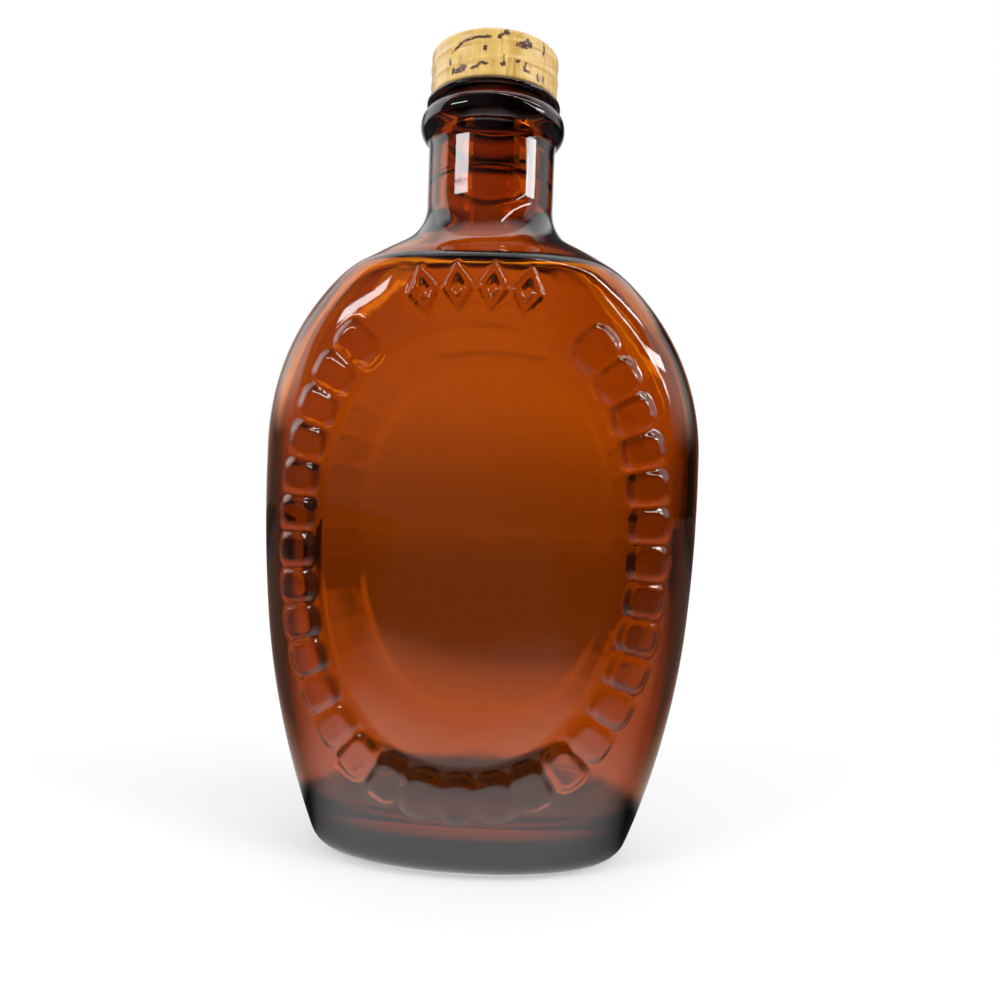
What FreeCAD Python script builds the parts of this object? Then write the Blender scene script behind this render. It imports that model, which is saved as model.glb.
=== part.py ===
import FreeCAD, Part
import Sketcher
import math
import os
import re

# Amber glass flask with a screw cap.  Millimetres, +Z up, front face towards -Y.
# The origin is the centre of the base, on the plane that the flask stands on.
#
# The glass is one solid: an oval loft whose front and side outlines are chains of tangent arcs, a turned
# neck with its collar and ring, a border of raised pads round a sunk label panel on both faces, a plaque
# with a row of lozenges over each panel, and the same loft again, one wall smaller, cut out as the inside.
# The cap is a second solid, a drawn metal shell that sits over the finish.

os.makedirs("parts", exist_ok=True)
doc = FreeCAD.newDocument("flask")
V = FreeCAD.Vector

# ---------------------------------------------------------------- driving sizes
SIZES = [
    # outer form, front outline
    ("waist_half_width", 65.85, "half width at the widest level"),
    ("belt_low", 114.0, "height where the straight belt starts"),
    ("belt_height", 6.0, "straight belt between flank and shoulder"),
    ("upper_flank_radius", 480.0, "flank from the belt down to the break"),
    ("flank_break", 70.0, "height where the flank starts to pull in faster"),
    ("lower_flank_radius", 230.0, "flank from the break down to the heel"),
    ("shoulder_radius", 68.0, "round shoulder, front outline"),
    ("neck_flare_radius", 15.0, "hollow curve from shoulder to neck, front outline"),
    # outer form, side outline
    ("half_depth", 33.0, "half depth of the face where it runs straight"),
    ("face_low", 70.0, "height below which the face curves in to the base"),
    ("brow_drop", 25.6, "from the shoulder's top down to where the face turns over"),
    ("lower_face_radius", 640.0, "side outline below face_low"),
    ("brow_radius", 6.0, "turn of the face to the shoulder"),
    # oval sections
    ("base_roundness", 2.1, "oval exponent at the base, 2 is an ellipse"),
    ("waist_roundness", 2.25, "oval exponent at the belt"),
    ("brow_roundness", 2.75, "oval exponent at the brow"),
    ("heel_radius", 8.0, "round between wall and base"),
    # glass
    ("wall", 3.0, "wall of the body"),
    ("floor_thickness", 6.5, "glass over the standing plane"),
    ("inner_heel_radius", 9.0, "round between the inside wall and floor"),
    ("push_up_depth", 2.6, "hollow under the base"),
    ("push_up_margin", 6.0, "standing ring left round the hollow"),
    # neck and finish
    ("neck_radius", 19.3, "outside of the neck"),
    ("neck_length", 19.6, "straight neck from the shoulder's top to the collar"),
    ("collar_height", 9.8, "collar, from its underside to its top"),
    ("collar_round", 4.0, "round of the collar's edges"),
    ("ring_height", 2.2, "height of the thin ring"),
    ("ring_gap", 0.8, "groove between collar and ring"),
    ("ring_round", 1.0, "round of the ring's edges"),
    ("finish_radius", 17.6, "plain finish that the cap covers"),
    ("finish_height", 13.6, "finish above the thin ring"),
    ("finish_wall", 3.6, "glass between the finish and its bore"),
    ("collar_stand", 4.5, "how far the big round collar stands out past the finish"),
    ("ring_stand", 2.9, "how far the thin ring under the cap stands out past the finish"),
    ("groove_stand", 0.4, "how far the bottom of the groove stands out past the finish"),
    ("ledge_drop", 9.2, "from the collar down to the ledge where the blown neck meets the pressed bore"),
    ("lip_round", 1.2, "round of the lip"),
    # pads, panel, plaque and lozenges
    ("border_half_width", 50.1, "border of pads, half width of its centre line"),
    ("border_half_height", 68.8, "border of pads, half height of its centre line"),
    ("border_centre", 91.9, "height of the border's centre"),
    ("border_roundness", 2.25, "oval exponent of the border"),
    ("border_widening", 0.021, "share by which the border is wider at its top, and narrower below"),
    ("pad_pitch", 10.36, "distance between pad centres along the border"),
    ("pad_length", 12.2, "pad across the border"),
    ("pad_corner", 3.6, "round of the pad's corners"),
    ("pad_corner_share", 0.46, "most of the pad's width that one corner may take"),
    ("pad_crease", 0.7, "gap between the tops of two neighbours"),
    ("pad_height", 1.2, "pad above the glass"),
    ("pad_draft", 24.0, "slope of the pad's sides, degrees"),
    ("pad_root", 1.4, "pad below the glass surface, where it is one with the wall"),
    ("pad_top_round", 0.45, "round of the pad's top edge"),
    ("panel_gap", 0.4, "plain glass between the pads' feet and the panel's edge"),
    ("field_depth", 0.45, "how deep the label panel and the plaque lie"),
    ("plaque_half_width", 21.8, "plaque, half width"),
    ("plaque_drop", 13.4, "from the brow down to the plaque's lower edge on the centre line"),
    ("plaque_height", 15.6, "plaque, from lower to upper edge"),
    ("plaque_bend", 75.0, "radius of the plaque's lower edge"),
    ("plaque_round", 4.5, "round of the plaque's corners"),
    ("lozenge_half_width", 4.2, "lozenge, half width"),
    ("lozenge_half_height", 6.0, "lozenge, half height"),
    ("lozenge_stroke", 1.8, "width of the lozenge's raised line"),
    ("lozenge_relief", 0.5, "lozenge above the face of the glass"),
    ("lozenge_root", 1.4, "lozenge below the face, where it is one with the wall"),
    ("lozenge_draft", 14.0, "slope of the raised line's sides, degrees"),
    ("lozenge_round", 0.5, "round of the raised line"),
    ("lozenge_pitch", 9.6, "distance between lozenges"),
    # cap
    ("cap_wall", 0.6, "sheet of the cap"),
    ("cap_clearance", 1.2, "room between cap and finish, taken by the threads"),
    ("cap_seat_gap", 0.2, "room between the cap's top sheet and the lip"),
    ("cap_hem_gap", 0.3, "room between the cap's hem and the thin ring"),
    ("cap_edge_round", 1.3, "round of the cap's top edge"),
    ("cap_bead_depth", 0.25, "depth of the two rolled grooves"),
    ("cap_bead_height", 1.0, "height of a rolled groove"),
    ("cap_bead_low", 3.2, "lower groove above the hem"),
    ("cap_bead_high", 7.6, "upper groove above the hem"),
    ("cap_hem_roll", 0.6, "how far the rolled hem comes in past the sheet"),
    ("cap_hem_height", 1.6, "height of the rolled hem"),
]
LEVELS = [
    ("collar_radius", "finish_radius + collar_stand", "outside of the collar"),
    ("ring_radius", "finish_radius + ring_stand", "outside of the thin ring"),
    ("groove_radius", "finish_radius + groove_stand", "bottom of the groove"),
    ("bore_radius", "finish_radius - finish_wall", "bore of the finish"),
    ("pad_bend", "min(pad_corner; pad_corner_share * (pad_pitch - pad_crease))", "pad corner as made"),
    ("belt_high", "belt_low + belt_height", "height where the shoulder starts"),
    ("shoulder_run", "neck_radius + neck_flare_radius - (waist_half_width - shoulder_radius)", "across them"),
    ("shoulder_sum", "shoulder_radius + neck_flare_radius", "between the centres of shoulder and flare"),
    ("shoulder_top", "belt_high + sqrt(shoulder_sum ^ 2 - shoulder_run ^ 2)", "where the neck starts"),
    ("face_high", "shoulder_top - brow_drop", "height where the face turns over"),
    ("plaque_low", "face_high - plaque_drop", "plaque's lower edge on the centre line"),
    ("collar_low", "shoulder_top + neck_length", "underside of the collar"),
    ("collar_high", "collar_low + collar_height", "top of the collar"),
    ("bore_ledge", "collar_low - ledge_drop", "height of the ledge in the neck"),
]
PAD_COUNT = 31
LOZENGE_COUNT = 4

sheet = doc.addObject("Spreadsheet::Sheet", "sizes")
for row, (name, value, note) in enumerate(SIZES, start=1):
    sheet.set("A%d" % row, name)
    sheet.set("B%d" % row, str(value))
    sheet.set("C%d" % row, note)
    sheet.setAlias("B%d" % row, name)
doc.recompute()

# what follows from the sizes, bound to the sheet
level_set = doc.addObject("App::VarSet", "levels")
homes = {name: "sizes." for name, _, _ in SIZES}
homes.update({name: "levels." for name, _, _ in LEVELS})
for name, rule, note in LEVELS:
    level_set.addProperty("App::PropertyFloat", name, "levels", note)
    bound = re.sub("[a-z_]+", lambda word: homes.get(word[0], "") + word[0], rule)
    level_set.setExpression(name, bound)
doc.recompute()


def size(name):
    """A driving size from the sheet, or a level that follows from them."""
    return float(getattr(sheet if homes[name] == "sizes." else level_set, name))


def cell(name):
    """The same value's name in an expression."""
    return homes[name] + name


def total(names):
    """The sum of the named sizes; a name with a minus sign in front is taken away."""
    return sum(-size(n[1:]) if n.startswith("-") else size(n) for n in names)


def formula(names):
    """The same sum, as an expression."""
    terms = ["- " + cell(n[1:]) if n.startswith("-") else "+ " + cell(n) for n in names]
    return " ".join(terms).removeprefix("+ ")


# ---------------------------------------------------------------- oval form of the body
def heel(arc_x, arc_z, arc_radius, floor, radius):
    """Centre of the heel's round and the height where it meets the wall's arc."""
    z = floor + radius
    reach = arc_radius - radius
    x = arc_x + math.sqrt(reach ** 2 - (arc_z - z) ** 2)
    return x, z, z + radius * (z - arc_z) / reach


def front_outline(inset, floor, heel_round):
    """Half width from base to neck, as arcs (centre x, centre z, radius, bulge, top)."""
    waist, low, high = size("waist_half_width"), size("belt_low"), size("belt_high")
    upper, lower = size("upper_flank_radius"), size("lower_flank_radius")
    lean = math.asin((low - size("flank_break")) / upper)
    lower_x = waist - upper + (upper - lower) * math.cos(lean)
    lower_z = low - (upper - lower) * math.sin(lean)
    heel_x, heel_z, heel_top = heel(lower_x, lower_z, lower - inset, floor, heel_round)
    shoulder, flare, top = size("shoulder_radius"), size("neck_flare_radius"), size("shoulder_top")
    turn = high + (shoulder - inset) * (top - high) / (shoulder + flare)
    return [
        (heel_x, heel_z, heel_round, 1, heel_top),
        (lower_x, lower_z, lower - inset, 1, lower_z - (lower - inset) * math.sin(lean)),
        (waist - upper, low, upper - inset, 1, low),
        (waist - inset, low, 0.0, 0, high),
        (waist - shoulder, high, shoulder - inset, 1, turn),
        (size("neck_radius") + flare, top, flare + inset, -1, top),
    ]


def side_outline(inset, floor, heel_round):
    """Half depth from base to neck, as the same kind of arcs."""
    deep, low, high = size("half_depth"), size("face_low"), size("face_high")
    lower, brow, neck = size("lower_face_radius"), size("brow_radius"), size("neck_radius")
    heel_x, heel_z, heel_top = heel(deep - lower, low, lower - inset, floor, heel_round)
    top = size("shoulder_top")
    across, rise = deep - brow - neck, top - high
    flare = (across ** 2 + rise ** 2 - brow ** 2) / (2 * (across + brow))
    turn = high + (brow - inset) * rise / (brow + flare)
    return [
        (heel_x, heel_z, heel_round, 1, heel_top),
        (deep - lower, low, lower - inset, 1, low),
        (deep - inset, low, 0.0, 0, high),
        (deep - brow, high, brow - inset, 1, turn),
        (neck + flare, top, flare + inset, -1, top),
    ]


def reach_at(outline, z):
    """Distance of an outline from the axis at one height; above its last arc it runs straight up."""
    z = min(z, outline[-1][4])
    for centre_x, centre_z, radius, bulge, top in outline:
        if z <= top + 1e-9:
            break
    return centre_x + bulge * math.sqrt(max(radius ** 2 - (z - centre_z) ** 2, 0.0))


def even_steps(low, high, steps):
    """Levels after low, up to high."""
    return [low + (high - low) * (i + 1) / steps for i in range(steps)]


def oval(half_width, half_depth, exponent, points):
    """Points of |x/a|^n + |y/b|^n = 1, anticlockwise from +X."""
    ring = []
    for step in range(points):
        c, s = math.cos(2 * math.pi * step / points), math.sin(2 * math.pi * step / points)
        x = math.copysign(half_width * abs(c) ** (2 / exponent), c)
        y = math.copysign(half_depth * abs(s) ** (2 / exponent), s)
        ring.append((x, y))
    return ring


def smooth_loop(points):
    """Closed curve of two splines that meet squarely at the first point and at the opposite one.

    Evenly spaced knots keep a loft through such loops light.
    """
    half = len(points) // 2
    knots = [i / half for i in range(half + 1)]
    sides = []
    for first in (0, half):
        run = [points[(first + i) % len(points)] for i in range(half + 1)]
        square = (run[half // 2] - (run[0] + run[-1]) / 2).normalize()
        curve = Part.BSplineCurve()
        curve.interpolate(Points=run, Parameters=knots, InitialTangent=square, FinalTangent=-square)
        sides.append(curve.toShape())
    return Part.Wire(sides)


def ease(z, low, high):
    """Smooth step from 0 at low to 1 at high."""
    share = min(max((z - low) / (high - low), 0.0), 1.0)
    return (1 - math.cos(math.pi * share)) / 2


def roundness(z):
    """Oval exponent: base, then waist, then the squarer brow, then the round neck."""
    base, waist, brow = size("base_roundness"), size("waist_roundness"), size("brow_roundness")
    value = base + (waist - base) * ease(z, 0.0, size("belt_low"))
    value += (brow - waist) * ease(z, size("belt_high"), size("face_high"))
    return value + (2.0 - brow) * ease(z, size("face_high"), size("shoulder_top"))


class OvalForm:
    """The body's form, set in from the outside by the same amount everywhere."""

    def __init__(self, inset=0.0, floor=0.0, heel_round=None):
        self.floor = floor
        self.heel_round = heel_round or size("heel_radius")
        self.front = front_outline(inset, floor, self.heel_round)
        self.side = side_outline(inset, floor, self.heel_round)

    def half_width(self, z):
        return reach_at(self.front, z)

    def half_depth(self, z):
        return reach_at(self.side, z)

    def depth(self, x, z):
        """Distance of the front surface from the middle plane: |x/a|^n + |y/b|^n = 1."""
        n = roundness(z)
        share = min(abs(x) / self.half_width(z), 1.0)
        return self.half_depth(z) * (1 - share ** n) ** (1 / n)

    def section(self, z, points=24):
        """Closed oval at one height."""
        ring = oval(self.half_width(z), self.half_depth(z), roundness(z), points)
        return smooth_loop([V(x, y, z) for x, y in ring])

    def body_levels(self):
        """Levels of the sections up to the neck, closer where the outlines turn."""
        levels = []
        for step in range(7):
            levels.append(self.floor + self.heel_round * (1 - math.cos(math.radians(15 * step))))
        marks = [levels[-1], size("face_high"), self.side[-2][4], size("shoulder_top")]
        for low, high, steps in zip(marks, marks[1:], (14, 4, 8)):
            levels += even_steps(low, high, steps)
        return levels

    def neck_levels(self):
        """The neck runs on into the collar, which covers its end."""
        inside_collar = (size("collar_low") + size("collar_high")) / 2
        return even_steps(size("shoulder_top"), inside_collar, 4)

    def solid(self):
        """Smooth loft through the sections."""
        levels = self.body_levels() + self.neck_levels()
        return Part.makeLoft([self.section(z) for z in levels], True, False)


class InsideForm(OvalForm):
    """The hollow: one wall smaller, with its own floor, up to the ledge in the neck."""

    def __init__(self):
        super().__init__(size("wall"), size("floor_thickness"), size("inner_heel_radius"))

    def neck_levels(self):
        return even_steps(size("shoulder_top"), size("bore_ledge"), 2)


def shape_object(name, shape):
    """A plain document object that holds a shape."""
    thing = doc.addObject("Part::Feature", name)
    thing.Shape = shape
    return thing


# ---------------------------------------------------------------- sketches
def origin_plane(body, role):
    """One of the body's own origin planes."""
    return next(f for f in body.Origin.OriginFeatures if f.Role == role)


def new_sketch(body, name, role):
    sketch = body.newObject("Sketcher::SketchObject", name)
    sketch.AttachmentSupport = (origin_plane(body, role), [""])
    sketch.MapMode = "FlatFace"
    return sketch


def at(*names):
    """A coordinate that is a sum of sheet names: its value and its expression; none is the axis."""
    return (total(names), formula(names)) if names else None


def closed_polygon(sketch, corners):
    """Closed polygon, each corner held by two coordinates."""
    first = sketch.GeometryCount
    places = [V(across[0] if across else 0, up[0] if up else 0, 0) for across, up in corners]
    for i, place in enumerate(places):
        sketch.addGeometry(Part.LineSegment(place, places[(i + 1) % len(places)]), False)
    for i in range(len(corners)):
        after = first + (i + 1) % len(corners)
        sketch.addConstraint(Sketcher.Constraint("Coincident", first + i, 2, after, 1))
    for i, corner in enumerate(corners):
        for kind, axis, coordinate in zip(("DistanceX", "DistanceY"), (-2, -1), corner):
            if coordinate:
                value, expression = coordinate
                held = Sketcher.Constraint(kind, -1, 1, first + i, 1, value)
                sketch.setExpression("Constraints[%d]" % sketch.addConstraint(held), expression)
            else:
                sketch.addConstraint(Sketcher.Constraint("PointOnObject", first + i, 1, axis))


def turned(label, corners):
    """Body turned about Z from a closed profile of (radius, height) corners."""
    body = doc.addObject("PartDesign::Body", label)
    sketch = new_sketch(body, label + "_profile", "XZ_Plane")
    closed_polygon(sketch, corners)
    revolution = body.newObject("PartDesign::Revolution", label + "_turned")
    revolution.Profile = sketch
    revolution.ReferenceAxis = (sketch, ["V_Axis"])
    revolution.Angle = 360
    doc.recompute()
    return body


def circle_edges(shape, rims):
    """Names of the circular edges at the given (radius, height) places."""
    names = []
    for index, edge in enumerate(shape.Edges, start=1):
        if not isinstance(edge.Curve, Part.Circle):
            continue
        for radius, height in rims:
            near = abs(edge.Curve.Radius - radius) < 1e-4
            if near and abs(edge.Curve.Center.z - height) < 1e-4:
                names.append("Edge%d" % index)
    return names


def round_edges(body, name, edges, radius_name):
    """Fillet on the body's named edges, its radius bound to the sheet."""
    fillet = body.newObject("PartDesign::Fillet", name)
    fillet.Base = (fillet.BaseFeature, edges)
    fillet.setExpression("Radius", "sizes." + radius_name)
    doc.recompute()
    return fillet


def raised_block(label, draw, sizes_of_block):
    """Block whose top outline lies on the XY plane and which widens downwards, top edge rounded."""
    relief, root, draft, edge_round = sizes_of_block
    body = doc.addObject("PartDesign::Body", label)
    sketch = new_sketch(body, label + "_outline", "XY_Plane")
    draw(sketch)
    block = body.newObject("PartDesign::Pad", label + "_block")
    block.Profile = sketch
    block.Reversed = True
    block.setExpression("Length", formula([relief, root]))
    block.setExpression("TaperAngle", formula([draft]))
    doc.recompute()
    edges = block.Shape.Edges
    top = [i for i, edge in enumerate(edges, start=1) if abs(edge.BoundBox.ZMin) < 1e-6]
    round_edges(body, label + "_round", ["Edge%d" % i for i in top], edge_round)
    return body


# ---------------------------------------------------------------- pads and lozenges
def pad_outline(sketch):
    """Rounded rectangle centred on the origin, long across the border."""
    long, corner = size("pad_length") / 2, size("pad_bend")
    wide = total(["pad_pitch", "-pad_crease"]) / 2
    flat_x, flat_y = long - corner, wide - corner
    lines = [
        (V(long, -flat_y, 0), V(long, flat_y, 0)),
        (V(flat_x, wide, 0), V(-flat_x, wide, 0)),
        (V(-long, flat_y, 0), V(-long, -flat_y, 0)),
        (V(-flat_x, -wide, 0), V(flat_x, -wide, 0)),
    ]
    for start, end in lines:
        sketch.addGeometry(Part.LineSegment(start, end), False)
    centres = [(flat_x, flat_y), (-flat_x, flat_y), (-flat_x, -flat_y), (flat_x, -flat_y)]
    for quarter, (x, y) in enumerate(centres):
        circle = Part.Circle(V(x, y, 0), V(0, 0, 1), corner)
        arc = Part.ArcOfCircle(circle, quarter * math.pi / 2, (quarter + 1) * math.pi / 2)
        sketch.addGeometry(arc, False)
    for i in range(4):
        sketch.addConstraint(Sketcher.Constraint("Tangent", i, 2, 4 + i, 1))
        sketch.addConstraint(Sketcher.Constraint("Tangent", 4 + i, 2, (i + 1) % 4, 1))
        sketch.addConstraint(Sketcher.Constraint("Horizontal" if i % 2 else "Vertical", i))
    for i in range(4, 7):
        sketch.addConstraint(Sketcher.Constraint("Equal", i, i + 1))
    sketch.addConstraint(Sketcher.Constraint("Symmetric", 4, 3, 6, 3, -1, 1))
    held = [
        (Sketcher.Constraint("Radius", 4, corner), ["pad_bend"]),
        (Sketcher.Constraint("DistanceX", 2, 1, 0, 1, 2 * long), ["pad_length"]),
        (Sketcher.Constraint("DistanceY", 3, 1, 1, 1, 2 * wide), ["pad_pitch", "-pad_crease"]),
    ]
    for constraint, names in held:
        sketch.setExpression("Constraints[%d]" % sketch.addConstraint(constraint), formula(names))


def lozenge_outline(sketch):
    """Lozenge and the smaller lozenge inside it, so that a line of even width is left."""
    wide, high, stroke = size("lozenge_half_width"), size("lozenge_half_height"), size("lozenge_stroke")
    names = {"w": "sizes.lozenge_half_width", "h": "sizes.lozenge_half_height", "s": "sizes.lozenge_stroke"}
    inner = 1 - stroke * math.hypot(wide, high) / (wide * high)
    shrink = "(1 - {s} * sqrt({w} ^ 2 + {h} ^ 2) / ({w} * {h}))".format(**names)
    for share, share_text in ((1.0, "1"), (inner, shrink)):
        right = (wide * share, names["w"] + " * " + share_text)
        left = (-wide * share, "-" + names["w"] + " * " + share_text)
        up = (high * share, names["h"] + " * " + share_text)
        down = (-high * share, "-" + names["h"] + " * " + share_text)
        closed_polygon(sketch, [(right, None), (None, up), (left, None), (None, down)])


def border_point(angle, inset=0.0):
    """Place on the border's oval; the angle runs from its lowest point towards +X."""
    wide, high = size("border_half_width") - inset, size("border_half_height") - inset
    power, s, c = 2 / size("border_roundness"), math.sin(angle), math.cos(angle)
    rise = -math.copysign(high * abs(c) ** power, c)
    x = math.copysign(wide * abs(s) ** power, s) * (1 + size("border_widening") * rise / high)
    return x, size("border_centre") + rise


def border_places(count):
    """Pad centres and directions, evenly spaced along the border on both sides of its lowest point."""
    fine = [border_point(math.pi * i / 2000) for i in range(2001)]
    run = [0.0]
    for (x0, z0), (x1, z1) in zip(fine, fine[1:]):
        run.append(run[-1] + math.hypot(x1 - x0, z1 - z0))
    places = []
    for k in range(count // 2 + 1):
        i = max(next(i for i, length in enumerate(run) if length >= k * size("pad_pitch")), 1)
        (x0, z0), (x1, z1) = fine[i - 1], fine[i]
        along = math.atan2(z1 - z0, x1 - x0)
        places.append((x1 if k else 0.0, z1, along if k else 0.0))
    return [(-x, z, -along) for x, z, along in places[:0:-1]] + places


def seated(block, form, x, z, turn, relief):
    """Copy of a block on the front: its X axis turned in the surface, its top one relief above it."""
    step = 0.01
    slope_x = (form.depth(x + step, z) - form.depth(x - step, z)) / (2 * step)
    slope_z = (form.depth(x, z + step) - form.depth(x, z - step)) / (2 * step)
    normal = V(-slope_x, -1, -slope_z).normalize()
    level = V(1, -slope_x, 0).normalize()
    upright = normal.cross(level)
    across = level * math.cos(turn) + upright * math.sin(turn)
    copy = block.copy()
    place = V(x, -form.depth(x, z), z) + normal * relief
    rotation = FreeCAD.Rotation(across, normal.cross(across), normal, "ZXY")
    copy.Placement = FreeCAD.Placement(place, rotation)
    return copy


def on_both_faces(shape):
    """The shape on the front and the same shape turned half round, on the back."""
    back = shape.copy()
    back.rotate(V(0, 0, 0), V(0, 0, 1), 180)
    return [shape, back]


# ---------------------------------------------------------------- sunk fields
def upright_prism(face):
    """Prism through the front of the body, from a face on the XZ plane."""
    face.translate(V(0, -size("half_depth") - 10, 0))
    return face.extrude(V(0, size("half_depth"), 0))


def panel_prism():
    """Label panel inside the border."""
    foot = size("pad_length") / 2 + size("pad_height") * math.tan(math.radians(size("pad_draft")))
    inset = foot + size("panel_gap")
    points = [border_point(2 * math.pi * i / 48, inset) for i in range(48)]
    return upright_prism(Part.Face(smooth_loop([V(x, 0, z) for x, z in points])))


def plaque_arcs():
    """Centre height, the two radii and the half angle of the plaque's curved band."""
    low = size("plaque_bend")
    high = low + size("plaque_height")
    return size("plaque_low") - low, low, high, math.asin(size("plaque_half_width") / high)


def plaque_prism():
    """Curved band over the panel, with rounded corners."""
    centre, low, high, half_angle = plaque_arcs()
    sides = [V(math.sin(half_angle * k), 0, math.cos(half_angle * k)) for k in (-1, 0, 1)]
    below = [V(0, 0, centre) + side * low for side in sides]
    above = [V(0, 0, centre) + side * high for side in sides]
    edges = [
        Part.Arc(*below).toShape(),
        Part.makeLine(below[2], above[2]),
        Part.Arc(*above[::-1]).toShape(),
        Part.makeLine(above[0], below[0]),
    ]
    prism = upright_prism(Part.Face(Part.Wire(edges)))
    upright = [edge for edge in prism.Edges if edge.BoundBox.YLength > size("half_depth") - 1]
    return prism.makeFillet(size("plaque_round"), upright)


# ---------------------------------------------------------------- the glass
outer = OvalForm()
outer_body = shape_object("oval_body", outer.solid())
inside = shape_object("inside", InsideForm().solid())

ring_low = ("collar_high", "ring_gap")
ring_high = ring_low + ("ring_height",)
lip = ring_high + ("finish_height",)
finish = turned("finish", [
    (None, at("collar_low")),
    (at("collar_radius"), at("collar_low")),
    (at("collar_radius"), at("collar_high")),
    (at("groove_radius"), at("collar_high")),
    (at("groove_radius"), at(*ring_low)),
    (at("ring_radius"), at(*ring_low)),
    (at("ring_radius"), at(*ring_high)),
    (at("finish_radius"), at(*ring_high)),
    (at("finish_radius"), at(*lip)),
    (None, at(*lip)),
])
for name, radius, levels, edge_round in (
    ("collar_edges", "collar_radius", (["collar_low"], ["collar_high"]), "collar_round"),
    ("ring_edges", "ring_radius", (ring_low, ring_high), "ring_round"),
    ("lip_edge", "finish_radius", (lip,), "lip_round"),
):
    rims = [(size(radius), total(level)) for level in levels]
    round_edges(finish, name, circle_edges(finish.Shape, rims), edge_round)

overlap = 1.0
bore = doc.addObject("Part::Cylinder", "bore")
bore.setExpression("Radius", cell("bore_radius"))
bore.setExpression("Placement.Base.z", "%s - %g" % (cell("bore_ledge"), overlap))
bore.setExpression("Height", "%s - %s + %g" % (formula(lip), cell("bore_ledge"), 2 * overlap))

push_up = doc.addObject("Part::Ellipsoid", "push_up")
push_up.Angle1, push_up.Angle2, push_up.Angle3 = -90, 90, 360
push_up.setExpression("Radius1", "sizes.push_up_depth")
push_up.Radius2 = outer.half_width(0) - size("push_up_margin")
push_up.Radius3 = outer.half_depth(0) - size("push_up_margin")

field_floor = OvalForm(size("field_depth")).solid()
skins = [prism.cut(field_floor) for prism in (panel_prism(), plaque_prism())]
fields = [shape_object("field", shape) for skin in skins for shape in on_both_faces(skin)]

pad = raised_block("pad", pad_outline, ("pad_height", "pad_root", "pad_draft", "pad_top_round"))
places = border_places(PAD_COUNT)
pads = [
    seated(pad.Shape, outer, x, z, along - math.pi / 2, size("pad_height"))
    for x, z, along in places
]
border = pads[0].multiFuse(pads[1:])

lozenge = raised_block(
    "lozenge", lozenge_outline,
    ("lozenge_relief", "lozenge_root", "lozenge_draft", "lozenge_round"),
)
centre, low, high, _ = plaque_arcs()
row_radius = (low + high) / 2
lozenges = []
for k in range(LOZENGE_COUNT):
    angle = (k - (LOZENGE_COUNT - 1) / 2) * size("lozenge_pitch") / row_radius
    x, z = row_radius * math.sin(angle), centre + row_radius * math.cos(angle)
    lozenges.append(seated(lozenge.Shape, outer, x, z, -angle, size("lozenge_relief")))

raised = [shape_object("border", shape) for shape in on_both_faces(border)]
for shape in lozenges:
    raised += [shape_object("ornament", side) for side in on_both_faces(shape)]

sunk = doc.addObject("Part::Cut", "sunk_body")
sunk.Base = outer_body
field_set = doc.addObject("Part::Compound", "field_set")
field_set.Links = fields
sunk.Tool = field_set
glass = doc.addObject("Part::MultiFuse", "glass")
glass.Shapes = [sunk, finish] + raised
doc.recompute()

hollowed = glass.Shape
for hollow in (inside, bore, push_up):
    hollowed = hollowed.cut(hollow.Shape)
bottle = shape_object("bottle", hollowed)

# ---------------------------------------------------------------- the cap
sheet_inside = ("finish_radius", "cap_clearance")
sheet_outside = sheet_inside + ("cap_wall",)
hem = ring_high + ("cap_hem_gap",)
ceiling = lip + ("cap_seat_gap",)


def bead(level):
    """Rolled groove in the sheet, from its lower to its upper edge."""
    low_edge, high_edge = at(*hem, level), at(*hem, level, "cap_bead_height")
    half = (low_edge[0] + size("cap_bead_height") / 2, low_edge[1] + " + sizes.cap_bead_height / 2")
    wall_line, floor_line = at(*sheet_outside), at(*sheet_outside, "-cap_bead_depth")
    return [(wall_line, low_edge), (floor_line, half), (wall_line, high_edge)]


cap = turned("cap", [
    (None, at(*ceiling)),
    (at(*sheet_inside), at(*ceiling)),
    (at(*sheet_inside), at(*hem, "cap_hem_height")),
    (at(*sheet_inside, "-cap_hem_roll"), at(*hem, "cap_hem_height")),
    (at(*sheet_inside, "-cap_hem_roll"), at(*hem)),
    (at(*sheet_outside), at(*hem)),
    *bead("cap_bead_low"),
    *bead("cap_bead_high"),
    (at(*sheet_outside), at(*ceiling, "cap_wall")),
    (None, at(*ceiling, "cap_wall")),
])
cap_top = total(ceiling + ("cap_wall",))
rims = [(total(sheet_outside), cap_top)]
round_edges(cap, "cap_edge", circle_edges(cap.Shape, rims), "cap_edge_round")

# ---------------------------------------------------------------- check and write
doc.recompute()
for thing in doc.Objects:
    if "Invalid" in thing.State or "Error" in thing.State:
        raise RuntimeError("%s did not build: %s" % (thing.Name, thing.State))
for thing in (bottle, cap):
    if thing.Shape.isNull() or not thing.Shape.isValid():
        raise RuntimeError("%s is not a valid shape" % thing.Label)
    thing.Shape.exportStep("parts/%s.step" % thing.Label)
    solids = len(thing.Shape.Solids)
    print("%s: %d solid, %.2f cm3" % (thing.Label, solids, thing.Shape.Volume / 1000))
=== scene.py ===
import math

import bpy
import numpy as np
from mathutils import Matrix, Vector


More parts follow.
